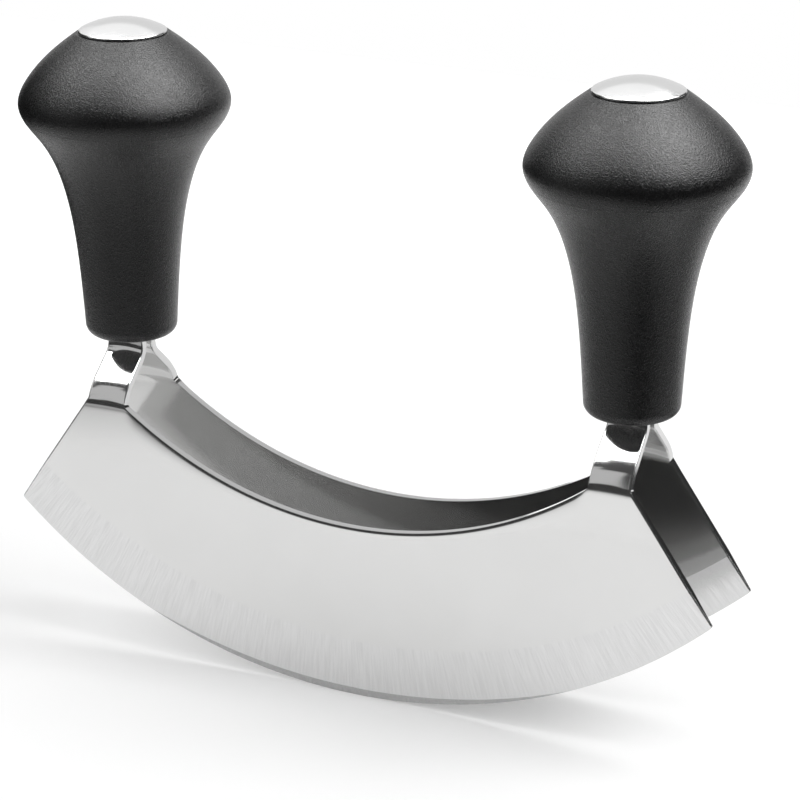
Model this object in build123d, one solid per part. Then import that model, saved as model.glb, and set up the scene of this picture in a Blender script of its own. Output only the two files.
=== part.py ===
from build123d import *
import math
import os

# Twin-blade mezzaluna: two rocking blades joined at their ends by two palm knobs.
# Millimetres. X runs along the blades, Y from the front blade to the rear one, Z up.
# The origin is under the middle of the knife, level with the lowest point of the cutting edges.

# Blade sheet and its outline
BLADE_LENGTH = 180.0        # tip to tip
SHEET = 2.0                 # thickness of the blade steel
PAIR_WIDTH = 25.0           # outer face of one blade to outer face of the other
TIP_RISE = 34.3             # height of the tips above the middle of the cutting edge
MID_HEIGHT = 42.2           # height of the blade at its middle
TIP_ROUND = 0.7             # small radius that blunts the tips
SHOULDER_OUT = (70.0, 62.6)  # corner of the slanted end edge and the tang
SHOULDER_IN = (59.9, 61.9)  # corner of the hollow top edge and the tang
SHOULDER_ROUND = 0.8        # radius in the corner of the top edge and the tang

# Grind
GRIND_WIDTH = 13.0          # height of the main bevel
GRIND_EDGE = 0.60           # thickness that the main bevel leaves at the edge
HONE_WIDTH = 1.8            # height of the honed bevel at the middle of the edge
HONE_EDGE = 0.12            # thickness left at the very edge
HONE_END_X = 56.0           # distance from the middle at which the honed bevel fades out
EDGE_BREAK = 0.25           # chamfer that breaks the corners of the hollow top edge

# Tangs: the blade's ends, bent inward and up again into the knobs
TANG_BEND_START = 59.5      # height where the lower bend begins
TANG_ANGLE = 45.0           # lean of the slanted stretch from the vertical
TANG_LOWER_BEND = 9.8       # bend radii on the sheet's middle
TANG_UPPER_BEND = 6.0
TANG_TOP_WIDTH = 8.6
TANG_IN_KNOB = 24.0         # length of tang inside the knob
TONGUE = 2.0                # thickness of the tie rod's tongue, between the two tangs

# Knob, measured up from its lower end
KNOB_X = 64.75              # distance of each knob's axis from the middle of the knife
KNOB_BOTTOM = 76.5          # height of the knob's lower end
KNOB_HEIGHT = 72.8          # lower end to the rim of the cap
FOOT_RADIUS = 10.9          # stem radius just above the rounded foot
FOOT_ROUND = 2.8
HEAD_RADIUS = 24.8          # widest radius, where the palm rests
HEAD_HEIGHT = 56.4
GRIP_SIDE = [               # radius and height: slim stem, flared neck, round rim, sloping crown
    (FOOT_RADIUS, FOOT_ROUND),
    (12.1, 19.5),
    (15.3, 37.8),
    (20.2, 48.2),
    (HEAD_RADIUS, HEAD_HEIGHT),
    (22.2, 62.4),
    (10.9, KNOB_HEIGHT),
]
GRIP_WALL = 2.6             # grip moulded over the core

# Core: stiff moulding inside the grip
SLOT_CLEARANCE = 0.15
BORE_RADIUS = 3.2
NUT_SEAT = 54.0             # height of the seat for the washer and nut
NUT_WELL_RADIUS = 8.0
CAP_RECESS_RADIUS = 9.3
CAP_RECESS_DEPTH = 4.6

# Cap: domed steel disc with a skirt, pressed into the top of the knob
CAP_RADIUS = 10.3
CAP_DOME = 3.3
CAP_WALL = 1.0
CAP_LIP = 0.6               # height of the rim below the dome

# Tie rod, rivets, washers and nut
ROD_RADIUS = 3.0
ROD_END_CHAMFER = 0.6
ROD_ABOVE_NUT = 1.6
TONGUE_WIDTH = 8.0
TONGUE_START = 2.0
RIVET_RADIUS = 1.5
RIVET_HEAD_RADIUS = 2.4
RIVET_HEAD_DEPTH = 0.8
RIVET_HEIGHTS = (8.0, 17.0)
WASHER_OUTER = 6.0
WASHER_THICKNESS = 1.6
SPRING_OUTER = 5.9
SPRING_INNER = 3.1
SPRING_THICKNESS = 1.6
SPRING_GAP = 0.9
SPRING_SLANT = 25.0         # lean of the split, degrees
NUT_ACROSS_FLATS = 10.0
NUT_HEIGHT = 5.0
NUT_CHAMFER = 0.7

# Sizes worked out from the ones above
HALF_LENGTH = BLADE_LENGTH / 2
BLADE_Y = PAIR_WIDTH / 2 - SHEET / 2
TANG_Y = TONGUE / 2 + SHEET / 2
TANG_TOP = KNOB_BOTTOM + TANG_IN_KNOB
EDGE_RADIUS = (HALF_LENGTH ** 2 + TIP_RISE ** 2) / (2 * TIP_RISE)
CLEAR = 60.0                # half width of the bodies that trim the sheet, well past every face


def mirrored_x(points):
    """The same points on the other side of the middle plane, in reverse order."""
    return [(-x, z) for x, z in reversed(points)]


def blade_outline():
    """Front view of one blade with its two tangs, as a face in the XZ plane."""
    tang_out = (KNOB_X + TANG_TOP_WIDTH / 2, TANG_TOP)
    tang_in = (KNOB_X - TANG_TOP_WIDTH / 2, TANG_TOP)
    right = [(HALF_LENGTH, TIP_RISE), SHOULDER_OUT, tang_out, tang_in, SHOULDER_IN]
    left = mirrored_x(right)
    cutting_edge = ThreePointArc(left[-1], (0, 0), right[0])
    hollow_edge = ThreePointArc(right[-1], (0, MID_HEIGHT), left[0])
    outline = make_face([cutting_edge, Polyline(*right), hollow_edge, Polyline(*left)])
    tips = [v for v in outline.vertices() if abs(v.Y - TIP_RISE) < 0.1]
    outline = fillet(tips, TIP_ROUND)
    inner_corners = [v for v in outline.vertices() if abs(v.Y - SHOULDER_IN[1]) < 0.1]
    return fillet(inner_corners, SHOULDER_ROUND)


def sheet_side_profile():
    """Side view of the bent sheet in the YZ plane: upright, slanted inward, upright again."""
    half_turn = math.tan(math.radians(TANG_ANGLE / 2))
    lower_z = TANG_BEND_START + TANG_LOWER_BEND * half_turn
    upper_z = lower_z + (BLADE_Y - TANG_Y) / math.tan(math.radians(TANG_ANGLE))

    def face_line(side):
        """One face of the sheet, from below the edge to the tang's top; side is 1 outside, -1 inside."""
        step = side * SHEET / 2
        points = [
            (BLADE_Y + step, -CLEAR),
            (BLADE_Y + step, lower_z + step * half_turn),
            (TANG_Y + step, upper_z + step * half_turn),
            (TANG_Y + step, TANG_TOP + CLEAR),
        ]
        return FilletPolyline(*points, radius=[TANG_LOWER_BEND + step, TANG_UPPER_BEND - step])

    outside = face_line(1)
    inside = face_line(-1)
    ends = [Line(outside @ 0, inside @ 0), Line(outside @ 1, inside @ 1)]
    return make_face([outside, inside, *ends])


def grind_body(centre_z, edge_radius, edge_thickness, slope, body_inset):
    """Wedge turned about a level axis at centre_z: it thins outward by slope on each side."""
    apex = edge_radius + edge_thickness / 2 / slope
    inner = edge_radius - body_inset
    inner_half = edge_thickness / 2 + slope * body_inset
    section = make_face(Polyline(
        (-CLEAR, centre_z), (-CLEAR, centre_z - inner),
        (BLADE_Y - inner_half, centre_z - inner), (BLADE_Y, centre_z - apex),
        (BLADE_Y + inner_half, centre_z - inner), (CLEAR, centre_z - inner),
        (CLEAR, centre_z), close=True))
    return revolve(Plane.YZ * section, Axis((0, 0, centre_z), (0, 1, 0)))


def main_grind():
    """Both main bevels, concentric with the cutting edge."""
    slope = (SHEET - GRIND_EDGE) / 2 / GRIND_WIDTH
    return grind_body(EDGE_RADIUS, EDGE_RADIUS, GRIND_EDGE, slope, GRIND_WIDTH + 6)


def hone_grind():
    """Both honed bevels: a flatter curve than the edge, so they fade out before the tips."""
    main_slope = (SHEET - GRIND_EDGE) / 2 / GRIND_WIDTH
    top_half = GRIND_EDGE / 2 + main_slope * HONE_WIDTH
    slope = (top_half - HONE_EDGE / 2) / HONE_WIDTH
    fade_depth = (GRIND_EDGE - HONE_EDGE) / 2 / slope
    fade_z = EDGE_RADIUS - math.sqrt(EDGE_RADIUS ** 2 - HONE_END_X ** 2)
    centre = (HONE_END_X ** 2 + fade_z ** 2 - fade_depth ** 2) / (2 * (fade_z - fade_depth))
    return grind_body(centre, centre, HONE_EDGE, slope, GRIND_WIDTH)


def rear_blade():
    """Bent and ground blade with rivet holes through its tangs."""
    plate = extrude(Plane.XZ * blade_outline(), amount=CLEAR, both=True)
    sheet = extrude(Plane.YZ * sheet_side_profile(), amount=CLEAR * 2, both=True)
    blade = plate & sheet & main_grind() & hone_grind()
    for side in (-1, 1):
        for height in RIVET_HEIGHTS:
            blade -= placed(rivet(height), side)
    hollow_edges = [e for e in blade.edges()
                    if e.geom_type == GeomType.CIRCLE and abs((e @ 0.5).Z - MID_HEIGHT) < 0.5]
    return chamfer(hollow_edges, EDGE_BREAK)


def placed(piece, side):
    """A knob piece moved from its own lower end to the left (-1) or right (1) knob."""
    return Pos(side * KNOB_X, 0, KNOB_BOTTOM) * piece


def turned(points):
    """Solid of revolution about Z from (radius, height) points."""
    return revolve(Plane.XZ * make_face(Polyline(*points, close=True)), Axis.Z)


def knob_body(wall):
    """Whole knob shape, set in from the outside by wall."""
    side = Spline(*[(r - wall, z) for r, z in GRIP_SIDE], tangents=[(0.06, 1), (-1, 0.72)])
    foot = RadiusArc((FOOT_RADIUS - FOOT_ROUND - wall, 0), side @ 0, -FOOT_ROUND)
    ends = Polyline(side @ 1, (0, KNOB_HEIGHT), (0, 0), foot @ 0)
    return revolve(Plane.XZ * make_face([foot, side, ends]), Axis.Z)


def cylinder_up(radius, low, high):
    """Upright cylinder on the knob's axis between two heights."""
    return Pos(0, 0, low) * Cylinder(radius, high - low, align=(Align.CENTER, Align.CENTER, Align.MIN))


def knob_grip():
    """Grained skin moulded over the core, open at the foot and under the cap."""
    return knob_body(0) - knob_body(GRIP_WALL) - cylinder_up(CAP_RECESS_RADIUS,
                                                             KNOB_HEIGHT - CAP_RECESS_DEPTH, KNOB_HEIGHT)


def knob_core():
    """Stiff core with the tang slot, the rod's bore, the nut well and the recess for the cap."""
    slot_x = TANG_TOP_WIDTH + 1.2
    slot_y = TONGUE + 2 * SHEET + 2 * SLOT_CLEARANCE
    slot = Box(slot_x, slot_y, TANG_IN_KNOB + 1, align=(Align.CENTER, Align.CENTER, Align.MIN))
    core = knob_body(GRIP_WALL) - slot
    core -= cylinder_up(BORE_RADIUS, 0, NUT_SEAT)
    core -= cylinder_up(NUT_WELL_RADIUS, NUT_SEAT, KNOB_HEIGHT)
    return core - cylinder_up(CAP_RECESS_RADIUS, KNOB_HEIGHT - CAP_RECESS_DEPTH, KNOB_HEIGHT)


def knob_cap():
    """Domed steel cap: shallow dome, upright lip, and a skirt that grips the recess."""
    rim_z = KNOB_HEIGHT
    lip_z = rim_z + CAP_LIP
    top_z = rim_z + CAP_DOME
    skirt_z = KNOB_HEIGHT - CAP_RECESS_DEPTH + 0.4
    skirt_in = CAP_RECESS_RADIUS - CAP_WALL
    chord = (CAP_DOME - CAP_LIP)
    dome_radius = (CAP_RADIUS ** 2 + chord ** 2) / (2 * chord)
    inner_drop = dome_radius - CAP_WALL
    inner_z = top_z - dome_radius + math.sqrt(inner_drop ** 2 - skirt_in ** 2)
    dome = RadiusArc((CAP_RADIUS, lip_z), (0, top_z), -dome_radius)
    underside = RadiusArc((0, top_z - CAP_WALL), (skirt_in, inner_z), inner_drop)
    walls = Polyline((skirt_in, inner_z), (skirt_in, skirt_z), (CAP_RECESS_RADIUS, skirt_z),
                     (CAP_RECESS_RADIUS, rim_z), (CAP_RADIUS, rim_z), (CAP_RADIUS, lip_z))
    axis_line = Line((0, top_z), (0, top_z - CAP_WALL))
    return revolve(Plane.XZ * make_face([dome, axis_line, underside, walls]), Axis.Z)


def tie_rod():
    """Rod with a flat tongue that lies between the tangs and a round shank up to the nut."""
    tongue_top = TANG_IN_KNOB + 1
    shank_top = NUT_SEAT + WASHER_THICKNESS + SPRING_THICKNESS + NUT_HEIGHT + ROD_ABOVE_NUT
    tongue = Pos(0, 0, TONGUE_START) * Box(TONGUE_WIDTH, TONGUE, tongue_top - TONGUE_START,
                                           align=(Align.CENTER, Align.CENTER, Align.MIN))
    shank = turned([(0, tongue_top), (ROD_RADIUS, tongue_top), (ROD_RADIUS, shank_top - ROD_END_CHAMFER),
                    (ROD_RADIUS - ROD_END_CHAMFER, shank_top), (0, shank_top)])
    rod = tongue + shank
    for height in RIVET_HEIGHTS:
        rod -= rivet(height)
    return rod


def rivet(height):
    """Countersunk rivet across the two tangs and the tongue, flush with the tangs' outer faces."""
    end = TONGUE / 2 + SHEET
    section = [(0, -end), (RIVET_HEAD_RADIUS, -end), (RIVET_RADIUS, RIVET_HEAD_DEPTH - end),
               (RIVET_RADIUS, end - RIVET_HEAD_DEPTH), (RIVET_HEAD_RADIUS, end), (0, end)]
    return Pos(0, 0, height) * Rot(90, 0, 0) * turned(section)


def tang_rivets():
    """The two rivets of one knob."""
    return Compound(children=[rivet(height) for height in RIVET_HEIGHTS])


def flat_washer():
    """Plain washer on the core's nut seat."""
    top = NUT_SEAT + WASHER_THICKNESS
    return cylinder_up(WASHER_OUTER, NUT_SEAT, top) - cylinder_up(BORE_RADIUS, NUT_SEAT, top)


def spring_washer():
    """Split lock washer between the plain washer and the nut."""
    low = NUT_SEAT + WASHER_THICKNESS
    high = low + SPRING_THICKNESS
    ring = cylinder_up(SPRING_OUTER, low, high) - cylinder_up(SPRING_INNER, low, high)
    slit = Rot(SPRING_SLANT, 0, 0) * Box(SPRING_OUTER, SPRING_GAP, 3 * SPRING_THICKNESS)
    return ring - Pos(SPRING_OUTER / 2, 0, (low + high) / 2) * slit


def hex_nut():
    """Hexagon nut with chamfered corners, screwed on the rod down to the spring washer."""
    low = NUT_SEAT + WASHER_THICKNESS + SPRING_THICKNESS
    high = low + NUT_HEIGHT
    corner = NUT_ACROSS_FLATS / 2 / math.cos(math.pi / 6)
    prism = Pos(0, 0, low) * extrude(RegularPolygon(corner, 6), NUT_HEIGHT)
    flat = NUT_ACROSS_FLATS / 2
    rounded = turned([(0, low), (flat, low), (corner, low + NUT_CHAMFER),
                      (corner, high - NUT_CHAMFER), (flat, high), (0, high)])
    return (prism & rounded) - cylinder_up(ROD_RADIUS, low, high)


REAR_BLADE = rear_blade()
NODES = {
    "rear_blade": REAR_BLADE,
    "front_blade": mirror(REAR_BLADE, about=Plane.XZ),
}
KNOB_PIECES = {
    "knob_grip": knob_grip,
    "knob_core": knob_core,
    "knob_cap": knob_cap,
    "tie_rod": tie_rod,
    "tang_rivets": tang_rivets,
    "flat_washer": flat_washer,
    "spring_washer": spring_washer,
    "hex_nut": hex_nut,
}
for side_name, side in (("left", -1), ("right", 1)):
    for piece_name, make in KNOB_PIECES.items():
        NODES[side_name + "_" + piece_name] = placed(make(), side)

os.makedirs("parts", exist_ok=True)
for name, shape in NODES.items():
    export_step(shape, "parts/" + name + ".step")
    box = shape.bounding_box()
    print(name, round(shape.volume, 1), [round(v, 2) for v in (*box.min, *box.max)])
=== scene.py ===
import math
import bpy
import numpy as np
from mathutils import Matrix, Vector


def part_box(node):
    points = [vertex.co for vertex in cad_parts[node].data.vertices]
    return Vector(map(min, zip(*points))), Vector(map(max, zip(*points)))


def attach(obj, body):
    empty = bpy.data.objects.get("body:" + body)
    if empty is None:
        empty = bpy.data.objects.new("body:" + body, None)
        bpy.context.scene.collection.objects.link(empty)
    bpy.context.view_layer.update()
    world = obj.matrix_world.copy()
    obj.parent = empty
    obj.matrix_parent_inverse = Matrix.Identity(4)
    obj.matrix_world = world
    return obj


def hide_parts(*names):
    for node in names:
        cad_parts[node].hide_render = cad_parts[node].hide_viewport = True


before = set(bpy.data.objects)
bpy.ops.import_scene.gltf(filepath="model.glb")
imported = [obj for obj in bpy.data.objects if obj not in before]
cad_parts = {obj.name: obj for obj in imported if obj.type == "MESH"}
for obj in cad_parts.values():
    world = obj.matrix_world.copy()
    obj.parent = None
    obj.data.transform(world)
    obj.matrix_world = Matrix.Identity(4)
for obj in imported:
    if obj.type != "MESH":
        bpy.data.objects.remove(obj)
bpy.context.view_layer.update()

# Twin-blade mezzaluna. Lengths are millimetres, and new_piece writes them to Blender in metres.
MM = 0.001

# Camera at the photograph's viewpoint, with its angles in degrees
IMAGE_SIZE = 800
FOCAL_PIXELS = 3248.0
CAMERA_PLACE = (328.9, -626.0, 316.8)
CAMERA_YAW = 27.21
CAMERA_PITCH = 19.29
CAMERA_ROLL = -0.18

# Blade sheet and its outline
SHEET = 2.0
HALF_LENGTH = 90.0
TIP_RISE = 34.3
TIP_ROUND = 0.71
MID_HEIGHT = 42.2
SHOULDER_OUT = (70.0, 62.6)
SHOULDER_IN = (59.9, 61.9)
SHOULDER_ROUND = 0.8
EDGE_LIFT = 0.02

# Blade's mesh: columns below a shoulder and below the hollow, share of the tip's angle at which the
# shoulder's columns begin, and rows, of which the last crowd towards the top at these depths
COLUMNS_PER_ROOT = 28
COLUMNS_PER_HOLLOW = 240
ROOT_START = 0.9
HONE_ROWS = 3
BEVEL_ROWS = 12
FLAT_ROWS = 24
ROWS_FROM_TOP = (6.0, 4.6, 3.4, 2.5, 1.8, 1.3, 0.95, 0.72, 0.53, 0.37, 0.24, 0.14, 0.07, 0.025, 0.0)

# Main bevel: its height along the blade, and the sheet left at its foot
BEVEL_LEFT = 12.3
BEVEL_MIDDLE = 14.0
BEVEL_RIGHT = 9.6
BEVEL_EDGE = 0.60

# Honed bevel: its height, the sheet left at the edge, and where it has faded out
HONE_HEIGHT = 1.8
HONE_EDGE = 0.12
HONE_END_X = 56.0
HONE_LEAST = 0.04

# Rims: round of the ends and tangs, of the hollow, and how far up and out the first one comes in
RIM_ROUND = 0.28
HOLLOW_RIM = 0.012
RIM_RISE = 3.0
RIM_REACH = 4.0
THIN_SHARE = 0.8

# Fall of the outer face towards the hollow: a narrow roll and a wide one, ending at the shoulders
ROLL_WIDTH = 0.8
ROLL_DEPTH = 0.115
BUFF_WIDTH = 3.4
BUFF_DEPTH = 0.12
ROLL_FADE = 3.0

# Bends of the tangs: leans in degrees reached at developed heights, and their softening. Each side
# has the rise of its lower bend, the lean of its slanted stretch and the radius of its upper bend.
BEND_HEIGHTS = (60.7, 61.4, 62.9, 66.1, 68.1)
BEND_LEANS = (0.0, 4.0, 18.0, 38.0)
BEND_EASE = 0.8
LEFT_BENDS = (-0.3, 48.0, 6.0)
RIGHT_BENDS = (0.7, 45.0, 4.4)
LOWER_BEND_END = 75.0
SLANT_END_GUESS = 72.0
LINE_LENGTH = 140.0
LINE_POINTS = 28001

# Tangs: width, gap between the pair, crown of the bends, and rows (a radian counts as some height)
TANG_TOP_WIDTH = 8.6
TONGUE = 2.0
BEND_CROWN = 0.45
BEND_CROWN_HALF_WIDTH = TANG_TOP_WIDTH / 2 + 0.5
BEND_CROWN_START = 61.0
BEND_CROWN_FADE = 4.0
TANG_ROWS = 110
RADIAN_AS_HEIGHT = 14.0

# Knob: radius and height of its outline's points, and its slopes at the foot and the crown's top
FOOT_RADIUS = 10.9
FOOT_ROUND = 2.8
FOOT_SLOPE = 0.06
STEM_AND_NECK = ((12.1, 19.5), (15.3, 37.8), (20.2, 48.2))
WIDEST_HEIGHT = 56.4
CROWN_MIDDLE = (22.2, 62.4)
CROWN_TOP_RADIUS = 10.9
CROWN_SLOPE = 0.72
CROWN_ROUND = 0.35
PARTING_HEIGHT = 52.6
PARTING_SPREAD = 0.13
PARTING_PROUD = 0.05
GRIP_WALL = 2.6
SPLINE_POINTS = 150
SIDE_POINTS = 420
GRIP_SEGMENTS = 224

# Knob's cap and its seat
CAP_SEAT_RADIUS = 9.3
CAP_SEAT_DEPTH = 4.6
CAP_DOME = 3.3
CAP_LIP = 0.6
CAP_RADIUS = 10.3
CAP_WALL = 1.0
CAP_ROLL = 0.4
CAP_UNDER = 0.12
CAP_GAP = 0.12
SKIRT_GAP = 0.4
CAP_SEGMENTS = 160

# Light
WORLD_LIGHT = 0.80
KEY_WATTS = 4.4
PAPER_WHITE = 0.9
FLOOR_GLOW = (0.10, 0.40)
GLOW_DISTANCES = (160.0, 420.0)
CARD_SPILL = 0.42
TABLE_SLANT = 0.3
WHITE = (1.0, 1.0, 1.0, 1.0)

# Sizes read from the frame
BLADE_HIGH = np.array(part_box("rear_blade")[1]) / MM
GRIP_LOW, GRIP_HIGH = (np.array(corner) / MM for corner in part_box("right_knob_grip"))
KNOB_X = (GRIP_LOW[0] + GRIP_HIGH[0]) / 2
KNOB_BOTTOM = GRIP_LOW[2]
KNOB_HEIGHT = GRIP_HIGH[2] - GRIP_LOW[2]
HEAD_RADIUS = (GRIP_HIGH[1] - GRIP_LOW[1]) / 2
BLADE_Y = BLADE_HIGH[1] - SHEET / 2
TANG_TOP = BLADE_HIGH[2]
TANG_Y = TONGUE / 2 + SHEET / 2
EDGE_RADIUS = (HALF_LENGTH ** 2 + TIP_RISE ** 2) / (2 * TIP_RISE)


def new_piece(name, points, faces, materials, face_material=None, sharp_angle=30.0):
    """Mesh object from an (n, 3) array in millimetres and a list of faces.

    It is smooth but for the creases sharper than sharp_angle in degrees.
    """
    mesh = bpy.data.meshes.new(name)
    mesh.from_pydata((points * MM).tolist(), [], faces)
    for material in materials:
        mesh.materials.append(material)
    if face_material is not None:
        mesh.polygons.foreach_set("material_index", face_material)
    mesh.shade_smooth()
    if sharp_angle is not None:
        mesh.set_sharp_from_angle(angle=math.radians(sharp_angle))
    mesh.update()
    piece = bpy.data.objects.new(name, mesh)
    bpy.context.scene.collection.objects.link(piece)
    return piece


def grid_quads(index):
    """Quads of a 2-D array of vertex numbers, each listed row by row."""
    corners = [index[:-1, :-1], index[:-1, 1:], index[1:, 1:], index[1:, :-1]]
    return np.stack([c.ravel() for c in corners], axis=1)


# Blades

# The inner-face slot holds a darker copy of the polished steel: painted shade between the blades.
FACE_SLOT, BEVEL_SLOT, HONE_SLOT, CUT_SLOT, SHADED_INNER_SLOT = range(5)


def bent_sheet_line(lower_rise, angle, upper_radius):
    """Developed height, y, z and lean (radians) along the middle of the bent sheet, as fine arrays.

    The lean rises to the given angle through the lower bend, by straight lines between a few values
    that a running mean softens, and falls back smoothly through the upper one. Place is the running
    integral of the lean's sine and cosine. The slanted stretch takes the length that brings the
    tang to TANG_Y.
    """
    lean_max = math.radians(angle)
    height = np.linspace(0, LINE_LENGTH, LINE_POINTS)
    step = height[1]
    mean = np.ones(round(BEND_EASE / step)) * step / BEND_EASE
    heights = np.array(BEND_HEIGHTS) + lower_rise * np.linspace(0.5, 1, len(BEND_HEIGHTS))
    leans = np.radians(np.interp(height, heights, (*BEND_LEANS, angle)))
    rising = np.where(height > LOWER_BEND_END, lean_max, np.convolve(leans, mean, "same"))
    slant_end = SLANT_END_GUESS
    for _ in range(3):
        upper = np.clip((height - slant_end) / (upper_radius * lean_max + BEND_EASE), 0, 1)
        lean = rising - lean_max * upper * upper * (3 - 2 * upper)
        y = BLADE_Y - np.concatenate([[0], np.cumsum(np.sin(lean[:-1])) * step])
        slant_end += (y[-1] - TANG_Y) / math.sin(lean_max)
    z = np.concatenate([[0], np.cumsum(np.cos(lean[:-1])) * step])
    return height, y, z, lean


SHEET_LEFT = bent_sheet_line(*LEFT_BENDS)
SHEET_RIGHT = bent_sheet_line(*RIGHT_BENDS)


def sheet_path(x, height):
    """y, z and lean of the sheet's middle at x and a developed height, on the line of x's side."""
    left, right = ([np.interp(height, line[0], part) for part in line[1:]]
                   for line in (SHEET_LEFT, SHEET_RIGHT))
    return tuple(np.where(x < 0, one, other) for one, other in zip(left, right))


def developed(z):
    """Height along the flat sheet of what stands at height z on the bent one."""
    return np.interp(z, SHEET_RIGHT[2], SHEET_RIGHT[0])


def bent(x, height, offset):
    """Point of the sheet: x, developed height, and offset outward from its middle, as (..., 3).

    The bends are crowned: towards the tang's sides the sheet leans as it does a little higher up in
    the middle, by a parabola across the tang that fades in over the top of the blade.
    """
    across = np.clip((np.abs(x) - KNOB_X) / BEND_CROWN_HALF_WIDTH, -1, 1)
    fade_in = np.clip((height - BEND_CROWN_START) / BEND_CROWN_FADE, 0, 1)
    y, _, lean = sheet_path(x, height + BEND_CROWN * across ** 2 * fade_in)
    z = sheet_path(x, height)[1]
    return np.stack([x, y + offset * np.cos(lean), z + offset * np.sin(lean)], axis=-1)


def circle_through(end_x, end_z, middle_z):
    """Radius and centre height of the arc through (0, middle_z) and end_z at either end_x."""
    rise = end_z - middle_z
    radius = (end_x ** 2 + rise ** 2) / (2 * rise)
    return radius, middle_z + radius


def tip_fillet():
    """Centre of the tip's small round, and where it meets the cutting arc and the slanted end.

    The centre is the round's radius inside both: it lies on the end's line moved inward, at
    EDGE_RADIUS less the round's radius from the arc's centre. The way along the line is the first
    root of that quadratic.
    """
    tip = np.array([HALF_LENGTH, TIP_RISE])
    along = np.array(SHOULDER_OUT) - tip
    along = along / np.linalg.norm(along)
    inward = np.array([-along[1], along[0]])
    arc_centre = np.array([0.0, EDGE_RADIUS])
    start = tip + inward * TIP_ROUND - arc_centre
    half = start @ along
    way = -half - math.sqrt(half ** 2 - start @ start + (EDGE_RADIUS - TIP_ROUND) ** 2)
    centre = tip + inward * TIP_ROUND + along * way
    on_arc = arc_centre + (centre - arc_centre) * EDGE_RADIUS / (EDGE_RADIUS - TIP_ROUND)
    return centre, on_arc, tip + along * way


HOLLOW_RADIUS, HOLLOW_CENTRE = circle_through(*SHOULDER_IN, MID_HEIGHT)


def cosine_steps(count):
    """Shares from 0 to 1 that lie closer together towards both ends, by half a cosine wave."""
    return (1 - np.cos(np.linspace(0, math.pi, count + 1))) / 2


def blade_columns():
    """Foot and top of every column line of the blade, from the left end to the right end.

    The feet lie on the cutting edge, spaced by angle, and run on round the tip's fillet. The tops
    lie on the left shoulder line, the hollow arc and the right shoulder line.
    """
    reach = math.asin(SHOULDER_IN[0] / HOLLOW_RADIUS)
    angle = np.linspace(-reach, reach, COLUMNS_PER_HOLLOW + 1)
    hollow = np.stack([HOLLOW_RADIUS * np.sin(angle),
                       HOLLOW_CENTRE - HOLLOW_RADIUS * np.cos(angle)], axis=1)
    share = cosine_steps(COLUMNS_PER_ROOT)[1:]
    root = np.array(SHOULDER_IN) * (1 - share[:, None]) + np.array(SHOULDER_OUT) * share[:, None]
    top = np.concatenate([(root * [-1, 1])[::-1], hollow, root])
    centre, on_arc, on_end = tip_fillet()
    tip_angle = math.atan2(on_arc[0], EDGE_RADIUS - on_arc[1])
    root_angle = tip_angle * ROOT_START
    first, last = (math.atan2(*(point - centre)[::-1]) for point in (on_arc, on_end))
    arc_length = (tip_angle - root_angle) * EDGE_RADIUS
    way = share * (arc_length + (last - first) * TIP_ROUND)
    foot_angle = np.concatenate([np.linspace(-root_angle, root_angle, COLUMNS_PER_HOLLOW + 1),
                                 root_angle + np.minimum(way, arc_length) / EDGE_RADIUS])
    foot = EDGE_RADIUS * np.stack([np.sin(foot_angle), 1 - np.cos(foot_angle)], axis=1)
    turn = first + (way - arc_length) / TIP_ROUND
    round_foot = centre + TIP_ROUND * np.stack([np.cos(turn), np.sin(turn)], axis=1)
    under_root = foot[COLUMNS_PER_HOLLOW + 1:]
    under_root[:] = np.where((way > arc_length)[:, None], round_foot, under_root)
    foot[:, 1] = np.maximum(foot[:, 1], EDGE_LIFT)
    return np.concatenate([under_root[::-1] * [-1, 1], foot]), top


def bevel_width(x):
    """Height of the main bevel along the blade: a parabola through its three values."""
    u = x / HALF_LENGTH
    bow = (BEVEL_LEFT + BEVEL_RIGHT) / 2 - BEVEL_MIDDLE
    return BEVEL_MIDDLE + (BEVEL_RIGHT - BEVEL_LEFT) / 2 * u + bow * u * u


def blade_body(foot, top):
    """Columns from the cutting edge up: x, z and half thickness, as (rows, columns) arrays.

    Half the sheet's thickness falls in a straight line down the main bevel to the edge, and faster
    down the honed bevel, whose height is a parabola that fades out at HONE_END_X. The last rows lie
    closer and closer to the top.
    """
    length = np.linalg.norm(top - foot, axis=1)
    bevel = bevel_width(foot[:, 0])
    fade = np.clip(1 - (foot[:, 0] / HONE_END_X) ** 2, 0, 1)
    hone = np.maximum(HONE_HEIGHT * fade, HONE_LEAST)
    last = length - ROWS_FROM_TOP[0]
    rise = [hone * r for r in np.linspace(0, 1, HONE_ROWS + 1)]
    rise += [hone + (bevel - hone) * r for r in np.linspace(0, 1, BEVEL_ROWS + 1)[1:]]
    rise += [bevel + (last - bevel) * r for r in np.linspace(0, 1, FLAT_ROWS + 1)[1:]]
    rise = np.array(rise + [length - down for down in ROWS_FROM_TOP[1:]])
    share = (rise / length)[..., None]
    place = foot * (1 - share) + top * share
    slope = (SHEET - BEVEL_EDGE) / 2 / bevel
    bevelled = BEVEL_EDGE / 2 + slope * rise
    edge_half = BEVEL_EDGE / 2 - (BEVEL_EDGE - HONE_EDGE) / 2 * fade
    hone_top = BEVEL_EDGE / 2 + slope * hone
    honed = edge_half + (hone_top - edge_half) * rise / hone
    half = np.minimum(np.where(rise < hone, honed, bevelled), SHEET / 2)
    return place[..., 0], place[..., 1], half


def round_fall(depth, radius):
    """Fall of a face over a quarter round, at a depth inside the edge: a circle's sagitta."""
    left = radius - np.clip(depth, 0, radius)
    return radius - np.sqrt(radius ** 2 - left ** 2)


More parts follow.
